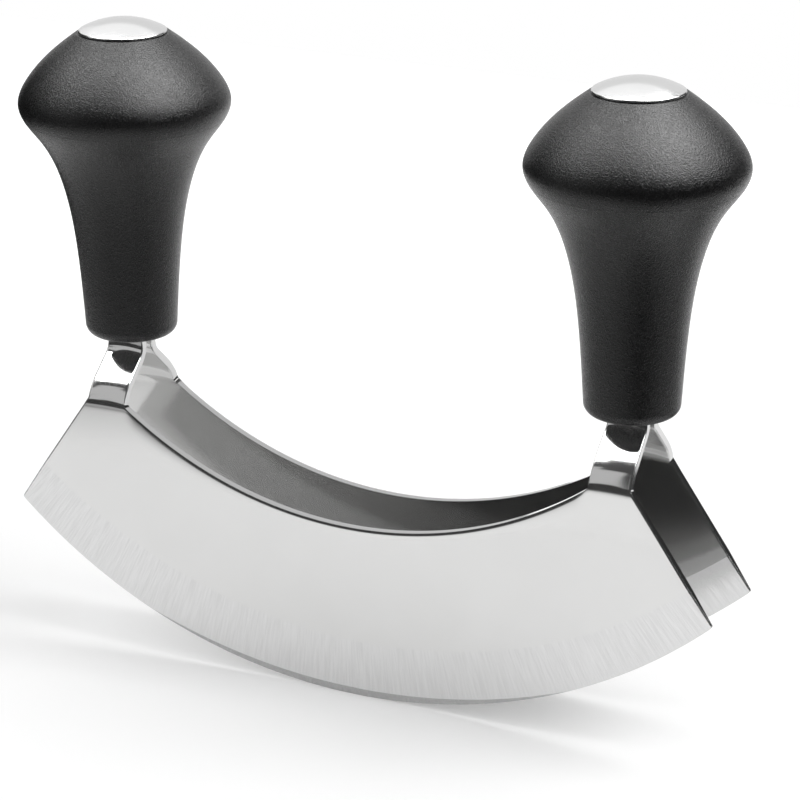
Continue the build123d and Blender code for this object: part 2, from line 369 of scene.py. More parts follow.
def rim(x, z, half):
    """Half thickness after the rims are rounded, and the fall of the outer face at the hollow.

    Depths inside the slanted end, the hollow and the tang's two sides are distances to a line, a
    circle and two lines. The blade and the tang are joined by the larger of their depths. The
    tang's rim is the hollow's at the inner shoulder and comes to its full round away from it. The
    fall is the sum of two parabolas of the depth inside the hollow.
    """
    x = np.abs(x)
    end = np.array(SHOULDER_OUT) - [HALF_LENGTH, TIP_RISE]
    end = end / np.linalg.norm(end)
    in_end = (SHOULDER_OUT[0] - x) * end[1] - (SHOULDER_OUT[1] - z) * end[0]
    in_hollow = np.hypot(x, z - HOLLOW_CENTRE) - HOLLOW_RADIUS
    up = np.clip((z - SHOULDER_OUT[1]) / (TANG_TOP - SHOULDER_OUT[1]), 0, 1)
    inner_side = SHOULDER_IN[0] * (1 - up) + (KNOB_X - TANG_TOP_WIDTH / 2) * up
    outer_side = SHOULDER_OUT[0] * (1 - up) + (KNOB_X + TANG_TOP_WIDTH / 2) * up
    in_tang = np.minimum(x - inner_side, outer_side - x)
    away = np.maximum((z - SHOULDER_IN[1]) / RIM_RISE, (x - SHOULDER_IN[0]) / RIM_REACH)
    tang_round = HOLLOW_RIM + (RIM_ROUND - HOLLOW_RIM) * np.clip(away, 0, 1)
    tang_fall = round_fall(in_tang, tang_round)
    blade_fall = np.maximum(round_fall(in_end, RIM_ROUND), round_fall(in_hollow, HOLLOW_RIM))
    fall = np.where(in_tang > np.minimum(in_end, in_hollow), tang_fall, blade_fall)
    rounded = half - fall * np.minimum(1, THIN_SHARE * half / RIM_ROUND)
    fade = np.clip((SHOULDER_IN[0] - x) / ROLL_FADE, 0, 1)
    roll = (ROLL_DEPTH * np.clip(1 - in_hollow / ROLL_WIDTH, 0, 1) ** 2
            + BUFF_DEPTH * np.clip(1 - in_hollow / BUFF_WIDTH, 0, 1) ** 2)
    return rounded, fade * roll


def tang_strip(root_x, root_z):
    """Tang above one shoulder, as x and developed height, its columns narrowing evenly to the top.

    Rows lie closer in the bends: they are even steps of height plus turning.
    """
    height, _, z, lean = SHEET_RIGHT
    start = developed(root_z)
    end = developed(TANG_TOP)
    turning = np.concatenate([[0], np.cumsum(np.abs(np.diff(lean)))])
    span = (height >= start.min()) & (height <= end)
    crowding = height[span] + RADIAN_AS_HEIGHT * turning[span]
    even = np.linspace(crowding[0], crowding[-1], TANG_ROWS + 1)[1:]
    way = np.interp(even, crowding, height[span])
    first_share = 1 / TANG_ROWS
    share = (way - way[0]) / (way[-1] - way[0]) * (1 - first_share) + first_share
    share = share[:, None]
    at = start * (1 - share) + end * share
    across = (root_x - root_x[0]) / (root_x[-1] - root_x[0])
    end_x = math.copysign(KNOB_X, root_x[0]) + (across - 0.5) * TANG_TOP_WIDTH
    narrowed = (np.interp(at, height, z) - root_z) / (TANG_TOP - root_z)
    return root_x * (1 - narrowed) + end_x * narrowed, at


def rounded_corner(x, z, corner, before, after, radius):
    """Outline points near a corner, drawn in to an arc of the given radius.

    before and after are points on the two edges. The arc's centre is on the corner's bisector.
    Points between the arc's ends lie beyond the radius from it and are brought to it.
    """
    corner = np.array(corner)
    one = np.array(before) - corner
    two = np.array(after) - corner
    one = one / np.linalg.norm(one)
    two = two / np.linalg.norm(two)
    half = math.acos(one @ two) / 2
    bisector = (one + two) / np.linalg.norm(one + two)
    centre = corner + bisector * radius / math.sin(half)
    reach = radius / math.tan(half)
    off = np.stack([x, z], axis=1) - centre
    far = np.linalg.norm(off, axis=1)
    near = np.linalg.norm(np.stack([x, z], axis=1) - corner, axis=1) < reach
    scale = np.where(near & (far > radius), radius / np.maximum(far, 1e-9), 1.0)
    return centre[0] + off[:, 0] * scale, centre[1] + off[:, 1] * scale


def outline_numbers(body, left, right):
    """Vertex numbers once round the blade's outline, from the left end of the cutting edge."""
    hollow = body[-1, COLUMNS_PER_ROOT:-COLUMNS_PER_ROOT][::-1]
    return np.concatenate([
        body[0, :-1], body[:-1, -1], right[:-1, -1], right[-1, ::-1][:-1], right[::-1, 0][:-1],
        hollow[:-1], left[:-1, -1], left[-1, ::-1][:-1], left[::-1, 0][:-1], body[::-1, 0][:-1]])


def mark_sharp(mesh, pairs):
    """Mark the edges between pairs of vertex numbers as sharp."""
    count = len(mesh.vertices)
    pairs = np.sort(pairs, axis=1)
    edges = np.zeros(len(mesh.edges) * 2, np.int32)
    mesh.edges.foreach_get("vertices", edges)
    edges = np.sort(edges.reshape(-1, 2).astype(np.int64), axis=1)
    sharp = np.isin(edges @ [count, 1], pairs @ [count, 1])
    mesh.attributes.new("sharp_edge", "BOOLEAN", "EDGE").data.foreach_set("value", sharp)
    mesh.update()


def blade(name, side, materials):
    """One blade with its tangs; side is 1 for the rear blade and -1 for the front one.

    The outer face (offset +) and the inner face (offset -) are grids of columns by rows, and a band
    round the outline joins them. The inner shoulders are rounded towards a point a few columns
    along the hollow and one a few rows up the tang.
    """
    foot, top = blade_columns()
    x, z, half = blade_body(foot, top)
    rows, columns = x.shape
    body = np.arange(x.size).reshape(x.shape)
    tang_columns = COLUMNS_PER_ROOT + 1
    left_x, left_height = tang_strip(x[-1, :tang_columns], z[-1, :tang_columns])
    right_x, right_height = tang_strip(x[-1, -tang_columns:], z[-1, -tang_columns:])
    left_new = x.size + np.arange(left_x.size).reshape(left_x.shape)
    right_new = left_new + left_x.size
    left = np.concatenate([body[-1:, :tang_columns], left_new])
    right = np.concatenate([body[-1:, -tang_columns:], right_new])
    outline = outline_numbers(body, left, right)

    all_x = np.concatenate([x.ravel(), left_x.ravel(), right_x.ravel()])
    tang_height = np.concatenate([left_height.ravel(), right_height.ravel()])
    tang_z = np.interp(tang_height, SHEET_RIGHT[0], SHEET_RIGHT[2])
    all_z = np.concatenate([z.ravel(), tang_z])
    all_height = np.concatenate([developed(z).ravel(), tang_height])
    all_half = np.concatenate([half.ravel(), np.full(len(tang_z), SHEET / 2)])
    all_half, roll = rim(all_x, all_z, all_half)
    count = len(all_x)
    on_hollow, on_tang = top[-3 - COLUMNS_PER_ROOT], (right_x[8, 0], right_height[8, 0])
    for end in (-1, 1):
        corner = (end * SHOULDER_IN[0], developed(SHOULDER_IN[1]))
        all_x[outline], all_height[outline] = rounded_corner(
            all_x[outline], all_height[outline], corner,
            (end * on_hollow[0], developed(on_hollow[1])), (end * on_tang[0], on_tang[1]),
            SHOULDER_ROUND)
    outer = bent(all_x, all_height, all_half - roll)
    inner = bent(all_x, all_height, -all_half)
    points = np.concatenate([outer, inner]) * [1, side, 1]

    face_quads = np.concatenate([grid_quads(body), grid_quads(left), grid_quads(right)])
    row_of = np.repeat(np.arange(rows - 1), columns - 1)
    ground = [row_of < HONE_ROWS, row_of < HONE_ROWS + BEVEL_ROWS]
    kind = np.select(ground, [HONE_SLOT, BEVEL_SLOT], FACE_SLOT)
    kind = np.concatenate([kind, np.full(len(face_quads) - len(kind), FACE_SLOT)])
    # Inner faces take the darker steel: painted shade where the two blades face each other.
    shaded_inner_kind = np.where(kind == FACE_SLOT, SHADED_INNER_SLOT, kind)
    ahead = np.roll(outline, -1)
    band = np.stack([outline, ahead, ahead + count, outline + count], axis=1)
    quads = np.concatenate([face_quads[:, ::-1], face_quads + count, band])
    quads = quads if side > 0 else quads[:, ::-1]
    kinds = np.concatenate([kind, shaded_inner_kind, np.full(len(band), CUT_SLOT)]).astype(np.int32)
    piece = new_piece(name, points, quads.tolist(), materials, kinds, sharp_angle=None)

    creases = [np.stack([body[row, :-1], body[row, 1:]], axis=1)
               for row in (0, HONE_ROWS, HONE_ROWS + BEVEL_ROWS)]
    pairs = np.concatenate([*creases, np.stack([outline, ahead], axis=1)])
    mark_sharp(piece.data, np.concatenate([pairs, pairs + count]))
    return piece


# Knobs

def smooth_line(points, start, end, steps):
    """Cubic spline through points, with its curvature continuous and its end directions given.

    The parameter is the chord length. The slopes at the points solve the usual tridiagonal system,
    and each stretch is a Hermite cubic.
    """
    points = np.array(points, float)
    chord = np.linalg.norm(np.diff(points, axis=0), axis=1)
    knot = np.concatenate([[0], np.cumsum(chord)])
    rate = np.diff(points, axis=0) / chord[:, None]
    n = len(points)
    system = np.eye(n)
    target = np.zeros((n, 2))
    inside = np.arange(1, n - 1)
    system[inside, inside - 1] = chord[1:]
    system[inside, inside] = 2 * (chord[:-1] + chord[1:])
    system[inside, inside + 1] = chord[:-1]
    target[inside] = 3 * (chord[1:, None] * rate[:-1] + chord[:-1, None] * rate[1:])
    target[0] = np.array(start) / np.linalg.norm(start)
    target[-1] = np.array(end) / np.linalg.norm(end)
    slope = np.linalg.solve(system, target)
    at = np.linspace(0, knot[-1], steps)
    k = np.clip(np.searchsorted(knot, at, side="right") - 1, 0, n - 2)
    h = chord[k]
    u = ((at - knot[k]) / h)[:, None]
    h = h[:, None]
    return ((1 + 2 * u) * (1 - u) ** 2 * points[k] + u * (1 - u) ** 2 * h * slope[k]
            + u * u * (3 - 2 * u) * points[k + 1] + u * u * (u - 1) * h * slope[k + 1])


def arc(centre, radius, start, end, steps):
    """Points (radius, height) of an arc about centre, between two angles in degrees."""
    angle = np.radians(np.linspace(start, end, steps))
    return np.array(centre) + radius * np.stack([np.cos(angle), np.sin(angle)], axis=1)


def turned(name, profile, place_x, materials, segments):
    """Surface of revolution about a knob's axis.

    The profile is (radius, height above the knob's lower end). It closes on itself, or ends on the
    axis at both ends, where each end is one pole.
    """
    poles = profile[0, 0] < 1e-6
    ring = profile[1:-1] if poles else profile
    turn = np.linspace(0, 2 * math.pi, segments, endpoint=False)
    grid = np.stack([ring[:, :1] * np.cos(turn), ring[:, :1] * np.sin(turn),
                     np.repeat(ring[:, 1:], segments, axis=1)], axis=-1)
    index = np.arange(grid.shape[0] * segments).reshape(-1, segments)
    index = np.concatenate([index, index[:, :1]], axis=1)
    points = grid.reshape(-1, 3)
    if poles:
        faces = grid_quads(index).tolist()
        first, last = len(points), len(points) + 1
        ends = np.array([[0, 0, profile[0, 1]], [0, 0, profile[-1, 1]]])
        points = np.concatenate([points, ends])
        faces += np.stack([index[0, 1:], index[0, :-1], np.full(segments, first)], 1).tolist()
        faces += np.stack([index[-1, :-1], index[-1, 1:], np.full(segments, last)], 1).tolist()
    else:
        faces = grid_quads(np.concatenate([index, index[:1]])).tolist()
    points = points + [place_x, 0, KNOB_BOTTOM]
    return new_piece(name, points, faces, materials)


def grip_side(wall):
    """Side of the knob from the foot up: slim stem, flared neck, round rim, sloping crown."""
    points = [(FOOT_RADIUS, FOOT_ROUND), *STEM_AND_NECK, (HEAD_RADIUS, WIDEST_HEIGHT),
              CROWN_MIDDLE, (CROWN_TOP_RADIUS, KNOB_HEIGHT)]
    points = [(radius - wall, z) for radius, z in points]
    return smooth_line(points, (FOOT_SLOPE, 1), (-1, CROWN_SLOPE), SPLINE_POINTS)


def parting_line(side):
    """Fine raised ring that the mould's parting leaves just under the widest radius."""
    ridge = PARTING_PROUD * np.exp(-((side[:, 1] - PARTING_HEIGHT) / PARTING_SPREAD) ** 2)
    return side + np.stack([ridge, np.zeros(len(side))], axis=1)


def knob_grip(name, place_x, material):
    """Grained outer moulding: foot, side, small round at the cap's seat, and the wall's inside."""
    side = grip_side(0)
    fine = np.linspace(0, len(side) - 1, SIDE_POINTS)
    side = np.stack([np.interp(fine, np.arange(len(side)), part) for part in side.T], axis=1)
    side = parting_line(side)
    foot = arc((FOOT_RADIUS - FOOT_ROUND, FOOT_ROUND), FOOT_ROUND, -90, -2, 16)
    crown_lean = math.degrees(math.atan2(1, CROWN_SLOPE))
    touch = CROWN_ROUND * math.tan(math.radians(90 - crown_lean) / 2)
    lip = arc((side[-1, 0] - touch, KNOB_HEIGHT - CROWN_ROUND), CROWN_ROUND, crown_lean, 90, 8)
    side = side[side[:, 1] < lip[0, 1] - 0.01]
    inner = grip_side(GRIP_WALL)[::-1]
    inner = inner[inner[:, 1] < KNOB_HEIGHT - CAP_SEAT_DEPTH]
    seat = [(CAP_SEAT_RADIUS, KNOB_HEIGHT), (CAP_SEAT_RADIUS, KNOB_HEIGHT - CAP_SEAT_DEPTH)]
    floor_in = [(FOOT_RADIUS - FOOT_ROUND - GRIP_WALL, 0.0)]
    profile = np.concatenate([foot, side, lip, seat, inner, floor_in])
    return turned(name, profile, place_x, [material], GRIP_SEGMENTS)


def knob_cap(name, place_x, material):
    """Domed steel cap: the dome rolls over a small radius into an upright lip, with a skirt below.

    The roll touches the dome and the lip, so its centre is the roll's radius inside both.
    """
    chord = CAP_DOME - CAP_LIP
    dome_radius = (CAP_RADIUS ** 2 + chord ** 2) / (2 * chord)
    centre_z = KNOB_HEIGHT + CAP_DOME - dome_radius
    roll_r = CAP_RADIUS - CAP_ROLL
    roll_z = math.sqrt((dome_radius - CAP_ROLL) ** 2 - roll_r ** 2)
    roll_angle = math.degrees(math.atan2(roll_z, roll_r))
    dome = arc((0, centre_z), dome_radius, 90, roll_angle, 40)
    rolled = arc((roll_r, centre_z + roll_z), CAP_ROLL, roll_angle, 0, 10)[1:]
    under_z = KNOB_HEIGHT + CAP_GAP + CAP_UNDER
    under = arc((CAP_RADIUS - CAP_UNDER, under_z), CAP_UNDER, 0, -90, 5)
    skirt_in = CAP_SEAT_RADIUS - CAP_WALL
    skirt_end = KNOB_HEIGHT - CAP_SEAT_DEPTH + SKIRT_GAP
    inner_radius = dome_radius - CAP_WALL
    inner_edge = math.degrees(math.acos(skirt_in / inner_radius))
    skirt = [(CAP_SEAT_RADIUS, KNOB_HEIGHT), (CAP_SEAT_RADIUS, skirt_end), (skirt_in, skirt_end)]
    inner = arc((0, centre_z), inner_radius, inner_edge, 90, 16)
    profile = np.concatenate([dome, rolled, under, skirt, inner])
    profile[[0, -1], 0] = 0
    return turned(name, profile[::-1], place_x, [material], CAP_SEGMENTS)


# Shader helpers

def feed(tree, socket, value):
    """Give an input socket a value, or a link where the value is another node's output."""
    if isinstance(value, bpy.types.NodeSocket):
        tree.links.new(value, socket)
    else:
        socket.default_value = value


def node(tree, kind, inputs=None, **settings):
    """New shader node with its settings, and its sockets given values or links."""
    made = tree.nodes.new(kind)
    for name, value in settings.items():
        setattr(made, name, value)
    for name, value in (inputs or {}).items():
        feed(tree, made.inputs[name], value)
    return made


def maths(tree, operation, *values):
    """Output of a Math node."""
    return node(tree, "ShaderNodeMath", dict(enumerate(values)), operation=operation).outputs[0]


def ramp(tree, value, low, high, to_low=0.0, to_high=1.0):
    """Value mapped smoothly from one range to another and held at its ends."""
    inputs = {"Value": value, "From Min": low, "From Max": high,
              "To Min": to_low, "To Max": to_high}
    made = node(tree, "ShaderNodeMapRange", inputs, interpolation_type="SMOOTHSTEP")
    return made.outputs["Result"]


def new_group(name, inputs, outputs):
    """Empty shader node group with named sockets: its tree, what it is given and what it gives."""
    group = bpy.data.node_groups.new(name, "ShaderNodeTree")
    sockets = group.interface
    for label, kind, value in inputs:
        socket = sockets.new_socket(label, in_out="INPUT", socket_type="NodeSocket" + kind)
        if value is not None:
            socket.default_value = value
    for label, kind in outputs:
        sockets.new_socket(label, in_out="OUTPUT", socket_type="NodeSocket" + kind)
    return group, node(group, "NodeGroupInput").outputs, node(group, "NodeGroupOutput").inputs


def use_group(tree, group, **inputs):
    """Group placed in a material's tree; underscores in the names stand for spaces."""
    made = tree.nodes.new("ShaderNodeGroup")
    made.node_tree = group
    for name, value in inputs.items():
        feed(tree, made.inputs[name.replace("_", " ")], value)
    return made.outputs


def new_material(name, **shader):
    """Material, its tree, its Principled shader's inputs with values set, and its coordinates."""
    material = bpy.data.materials.new(name)
    material.use_nodes = True
    tree = material.node_tree
    principled = next(n for n in tree.nodes if n.type == "BSDF_PRINCIPLED")
    for label, value in shader.items():
        principled.inputs[label.replace("_", " ")].default_value = value
    position = node(tree, "ShaderNodeTexCoord").outputs["Object"]
    return material, tree, principled.inputs, position


def bare_material(name):
    """Material with an empty tree."""
    material = bpy.data.materials.new(name)
    material.use_nodes = True
    material.node_tree.nodes.clear()
    return material, material.node_tree


def mix_colours(tree, share, first, second):
    """Output of a colour Mix node, whose sockets go by number because their names repeat."""
    made = node(tree, "ShaderNodeMix", {0: share, 6: first, 7: second}, data_type="RGBA")
    return made.outputs[2]


def toned(tint, factor):
    """Tint made darker or lighter by a factor, as a colour with alpha."""
    return tuple(min(c * factor, 1.0) for c in tint) + (1.0,)


def bump_normal(tree, height, depth):
    """Normal of a relief of full strength."""
    inputs = {"Height": height, "Distance": depth, "Strength": 1.0}
    return node(tree, "ShaderNodeBump", inputs).outputs["Normal"]


# Effects that several materials share

def moulded_grain_group():
    """Spark-eroded texture of a mould: rounded pits of two sizes, as a normal and a mask."""
    tree, given, result = new_group(
        "moulded_grain",
        [("Position", "Vector", None), ("Size", "Float", 0.5 * MM), ("Depth", "Float", 0.03 * MM)],
        [("Normal", "Vector"), ("Pits", "Float")])
    place = given["Position"]
    scale = maths(tree, "DIVIDE", 1.0, given["Size"])
    coarse = node(tree, "ShaderNodeTexNoise", {
        "Vector": place, "Scale": scale, "Detail": 1.5, "Roughness": 0.5}).outputs["Fac"]
    fine = node(tree, "ShaderNodeTexVoronoi", {
        "Vector": place, "Scale": maths(tree, "MULTIPLY", scale, 1.9), "Smoothness": 0.6,
    }, feature="SMOOTH_F1").outputs["Distance"]
    height = maths(tree, "ADD", maths(tree, "MULTIPLY", coarse, 0.55),
                   maths(tree, "MULTIPLY", fine, 0.45))
    tree.links.new(bump_normal(tree, height, given["Depth"]), result["Normal"])
    tree.links.new(ramp(tree, height, 0.36, 0.62), result["Pits"])
    return tree


def polish_haze_group():
    """Slow cloudiness of a polish with sparse hairline scratches, as a roughness and a tone."""
    tree, given, result = new_group(
        "polish_haze",
        [("Position", "Vector", None), ("Roughness", "Float", 0.1), ("Spread", "Float", 0.05),
         ("Cloud Size", "Float", 18 * MM), ("Scratch Size", "Float", 0.25 * MM)],
        [("Roughness", "Float"), ("Tone", "Float")])
    cloud = node(tree, "ShaderNodeTexNoise", {
        "Vector": given["Position"], "Scale": maths(tree, "DIVIDE", 1.0, given["Cloud Size"]),
        "Detail": 3.0, "Roughness": 0.55, "Distortion": 0.6}).outputs["Fac"]
    stretched = node(tree, "ShaderNodeMapping", {
        "Vector": given["Position"], "Rotation": (0.35, 0.2, 0.45),
        "Scale": (0.04, 0.5, 1.0)}).outputs["Vector"]
    hairs = node(tree, "ShaderNodeTexNoise", {
        "Vector": stretched, "Scale": maths(tree, "DIVIDE", 1.0, given["Scratch Size"]),
        "Detail": 2.0, "Roughness": 0.7}).outputs["Fac"]
    hair = ramp(tree, hairs, 0.6, 0.75)
    drift = maths(tree, "MULTIPLY", maths(tree, "SUBTRACT", cloud, 0.5), 2.0)
    uneven = maths(tree, "ADD", drift, maths(tree, "MULTIPLY", hair, 0.7))
    spread = maths(tree, "MULTIPLY", given["Spread"], uneven)
    rough = maths(tree, "MAXIMUM", maths(tree, "ADD", given["Roughness"], spread), 0.02)
    tree.links.new(rough, result["Roughness"])
    tree.links.new(maths(tree, "ADD", 0.5, maths(tree, "MULTIPLY", drift, 0.5)), result["Tone"])
    return tree


def grinding_lines_group():
    """Lines that a wheel leaves square to a curved edge: noise on the angle about its centre.

    The noise is fine along the edge and long across it. Gives a normal and the lines themselves.
    """
    tree, given, result = new_group(
        "grinding_lines",
        [("Position", "Vector", None), ("Spacing", "Float", 0.3 * MM), ("Run", "Float", 6 * MM),
         ("Depth", "Float", 0.002 * MM)],
        [("Normal", "Vector"), ("Lines", "Float")])
    parts = node(tree, "ShaderNodeSeparateXYZ", {"Vector": given["Position"]}).outputs
    down = maths(tree, "SUBTRACT", EDGE_RADIUS * MM, parts["Z"])
    turn = maths(tree, "ARCTAN2", parts["X"], down)
    along = maths(tree, "MULTIPLY", turn, EDGE_RADIUS * MM)
    reach = maths(tree, "SQRT", maths(tree, "ADD", maths(tree, "POWER", parts["X"], 2.0),
                                      maths(tree, "POWER", down, 2.0)))
    place = node(tree, "ShaderNodeCombineXYZ", {
        "X": maths(tree, "DIVIDE", along, given["Spacing"]),
        "Y": maths(tree, "DIVIDE", reach, given["Run"]),
        "Z": maths(tree, "MULTIPLY", parts["Y"], 90.0)}).outputs["Vector"]
    lines = node(tree, "ShaderNodeTexNoise", {
        "Vector": place, "Scale": 1.0, "Detail": 3.0, "Roughness": 0.6}).outputs["Fac"]
    tree.links.new(bump_normal(tree, lines, given["Depth"]), result["Normal"])
    tree.links.new(lines, result["Lines"])
    return tree


GRAIN = moulded_grain_group()
HAZE = polish_haze_group()
GRINDING = grinding_lines_group()


# Materials

def steel(name, tint, roughness, spread, cloud=18.0, scratch=0.25, metallic=1.0):
    """Polished steel: one tint that drifts a little with the haze of the polish."""
    material, tree, shader, position = new_material(name, Metallic=metallic)
    haze = use_group(tree, HAZE, Position=position, Roughness=roughness, Spread=spread,
                     Cloud_Size=cloud * MM, Scratch_Size=scratch * MM)
    colour = mix_colours(tree, haze["Tone"], toned(tint, 0.96), toned(tint, 1.03))
    tree.links.new(colour, shader["Base Color"])
    tree.links.new(haze["Roughness"], shader["Roughness"])
    return material


def ground_steel(name, tint, roughness, spacing, run, depth, contrast):
    """Steel off the grinding wheel: lines square to the edge in tone, roughness and relief."""
    material, tree, shader, position = new_material(name, Metallic=0.95)
    lines = use_group(tree, GRINDING, Position=position, Spacing=spacing * MM, Run=run * MM,
                      Depth=depth * MM)
    line = ramp(tree, lines["Lines"], 0.3, 0.7)
    colour = mix_colours(tree, line, toned(tint, 1 - contrast), toned(tint, 1 + contrast))
    rough = ramp(tree, lines["Lines"], 0.3, 0.7, roughness * 1.15, roughness * 0.85)
    tree.links.new(colour, shader["Base Color"])
    tree.links.new(rough, shader["Roughness"])
    tree.links.new(lines["Normal"], shader["Normal"])
    return material


def moulded_plastic(name, colour, roughness, size, depth, specular):
    """Black moulding: grained relief, with the pits rougher than the tops and a darker colour in
    the pits as painted shade.
    """
    material, tree, shader, position = new_material(name, Specular_IOR_Level=specular, IOR=1.5)
    grain = use_group(tree, GRAIN, Position=position, Size=size * MM, Depth=depth * MM)
    pits = grain["Pits"]
    # Painted shade: the pits get a darker colour than the tops.
    pit_shaded_colour = mix_colours(tree, pits, toned(colour, 0.75), toned(colour, 1.0))
    rough = ramp(tree, pits, 0.0, 1.0, roughness * 1.12, roughness * 0.9)
    tree.links.new(pit_shaded_colour, shader["Base Color"])
    tree.links.new(rough, shader["Roughness"])
    tree.links.new(grain["Normal"], shader["Normal"])
    return material


POLISHED_FACE = steel("polished_blade_steel", (0.685, 0.685, 0.681), 0.10, 0.03, metallic=0.97)
# Inner faces: the polished steel with a darker tint, painted shade between the two blades.
SHADED_INNER_FACE = steel("inner_blade_steel_painted_shade", (0.57, 0.57, 0.565), 0.10, 0.03, metallic=0.97)
MAIN_BEVEL = ground_steel("ground_bevel_steel", (0.70,) * 3, 0.22, 0.35, 9.0, 0.0010, 0.045)
HONED_EDGE = ground_steel("honed_edge_steel", (0.46,) * 3, 0.30, 0.2, 2.0, 0.003, 0.10)
CUT_EDGE = steel("cut_edge_steel", (0.56,) * 3, 0.09, 0.03, 6.0, 0.15)
CAP_STEEL = steel("cap_steel", (0.77,) * 3, 0.19, 0.03, 9.0, 0.18)
GRIP_PLASTIC = moulded_plastic(
    "grained_black_plastic", (0.004, 0.004, 0.0043), 0.29, 0.42, 0.17, 0.38)
CORE_PLASTIC = moulded_plastic("core_black_plastic", (0.03,) * 3, 0.5, 0.9, 0.02, 0.4)
ROD_STEEL = steel("rod_steel", (0.60, 0.60, 0.59), 0.28, 0.06, 8.0, 0.2)
FASTENER_STEEL = steel("fastener_steel", (0.62, 0.62, 0.60), 0.24, 0.06, 5.0, 0.2)
BLADE_FINISHES = [POLISHED_FACE, MAIN_BEVEL, HONED_EDGE, CUT_EDGE, SHADED_INNER_FACE]


# The knife

def place_piece(piece, node_name):
    """Piece that rides with the knife and stands for one CAD node, whose part it hides."""
    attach(piece, "root")
    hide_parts(node_name)


place_piece(blade("blade_rear", 1, BLADE_FINISHES), "rear_blade")
place_piece(blade("blade_front", -1, BLADE_FINISHES), "front_blade")
for side_name, side in (("left", -1), ("right", 1)):
    grip = knob_grip(side_name + "_grip", side * KNOB_X, GRIP_PLASTIC)
    place_piece(grip, side_name + "_knob_grip")
    cap = knob_cap(side_name + "_cap", side * KNOB_X, CAP_STEEL)
    place_piece(cap, side_name + "_knob_cap")

INNER_FINISHES = {
    "knob_core": CORE_PLASTIC,
    "tie_rod": ROD_STEEL,
    "tang_rivets": FASTENER_STEEL,
    "flat_washer": FASTENER_STEEL,
    "spring_washer": FASTENER_STEEL,
    "hex_nut": FASTENER_STEEL,
}
for side_name in ("left", "right"):
    for piece_name, finish in INNER_FINISHES.items():
        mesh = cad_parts[side_name + "_" + piece_name].data
        mesh.materials.clear()
        mesh.materials.append(finish)


# Stage, light and camera

def flat_card(name, centre, width, height, facing, material, glossy_only):
    """Rectangle centred on a point in millimetres, its face turned towards a direction."""
    corners = [[-width, -height, 0], [width, -height, 0], [width, height, 0], [-width, height, 0]]
    turn = np.array(Vector(facing).to_track_quat("Z", "Y").to_matrix())
    points = np.array(corners) / 2 @ turn.T + centre
    card = new_piece(name, points, [[0, 1, 2, 3]], [material])
    if glossy_only:
        card.visible_camera = False
        card.visible_diffuse = False
        card.visible_transmission = False
        card.visible_volume_scatter = False
        card.visible_shadow = False
    return card


def seen_directly(tree):
    """1 for camera, glossy and transmission rays and 0 for the rest."""
    path = node(tree, "ShaderNodeLightPath").outputs
    glossy = maths(tree, "MAXIMUM", path["Is Glossy Ray"], path["Is Transmission Ray"])
    return maths(tree, "MAXIMUM", path["Is Camera Ray"], glossy)


def floor_material():
    """Pale floor: white paper that keeps the shadow, and looks lighter away from the knife.

    The eye, the steel and the plastic see the extra light. From below the floor is clear.
    """
    material, tree = bare_material("pale_floor")
    colour = (PAPER_WHITE, PAPER_WHITE, PAPER_WHITE, 1.0)
    paper = node(tree, "ShaderNodeBsdfDiffuse", {"Color": colour}).outputs[0]
    place = node(tree, "ShaderNodeTexCoord").outputs["Object"]
    away = node(tree, "ShaderNodeVectorMath", {0: place}, operation="LENGTH").outputs["Value"]
    glow = ramp(tree, away, *(distance * MM for distance in GLOW_DISTANCES), *FLOOR_GLOW)
    strength = maths(tree, "MULTIPLY", seen_directly(tree), glow)
    extra = node(tree, "ShaderNodeEmission", {"Color": WHITE, "Strength": strength}).outputs[0]
    both = node(tree, "ShaderNodeAddShader", {0: paper, 1: extra}).outputs[0]
    clear = node(tree, "ShaderNodeBsdfTransparent").outputs[0]
    below = node(tree, "ShaderNodeNewGeometry").outputs["Backfacing"]
    sided = node(tree, "ShaderNodeMixShader", {0: below, 1: both, 2: clear}).outputs[0]
    node(tree, "ShaderNodeOutputMaterial", {"Surface": sided})
    return material


def card_material(name, level, near=None):
    """Studio card of one brightness.

    Where near gives two places and a level, the card falls from that level at the first place to
    its own at the second, along a slanted line. What steel throws from any card onto the floor is
    of one plain level.
    """
    material, tree = bare_material(name)
    if near:
        first, second, near_level = near
        position = node(tree, "ShaderNodeTexCoord").outputs["Object"]
        parts = node(tree, "ShaderNodeSeparateXYZ", {"Vector": position}).outputs
        slanted = maths(tree, "MULTIPLY_ADD", parts["X"], TABLE_SLANT, parts["Y"])
        level = ramp(tree, slanted, second * MM, first * MM, level, near_level)
    bounces = node(tree, "ShaderNodeLightPath").outputs["Diffuse Depth"]
    level = ramp(tree, maths(tree, "MINIMUM", bounces, 1.0), 0.0, 1.0, level, CARD_SPILL)
    plain = node(tree, "ShaderNodeEmission", {"Color": WHITE, "Strength": level}).outputs[0]
    node(tree, "ShaderNodeOutputMaterial", {"Surface": plain})
    return material


def set_world():
    """White surroundings for what looks at them directly, and plain soft light for the rest."""
    world = bpy.data.worlds.new("studio")
    bpy.context.scene.world = world
    world.use_nodes = True
    tree = world.node_tree
    tree.nodes.clear()
    lift = maths(tree, "MULTIPLY", seen_directly(tree), 1.0 - WORLD_LIGHT)
    strength = maths(tree, "ADD", WORLD_LIGHT, lift)
    light = node(tree, "ShaderNodeBackground", {"Color": WHITE, "Strength": strength}).outputs[0]
    node(tree, "ShaderNodeOutputWorld", {"Surface": light})


def soft_lamp(name, place, aim, size, watts):
    """Square area lamp in millimetres, turned towards a point."""
    lamp = bpy.data.lights.new(name, "AREA")
    lamp.shape = "SQUARE"
    lamp.size = size * MM
    lamp.energy = watts
    holder = bpy.data.objects.new(name, lamp)
    bpy.context.scene.collection.objects.link(holder)
    holder.location = Vector(place) * MM
    holder.rotation_mode = "QUATERNION"
    holder.rotation_quaternion = (Vector(place) - Vector(aim)).to_track_quat("Z", "Y")
    return holder


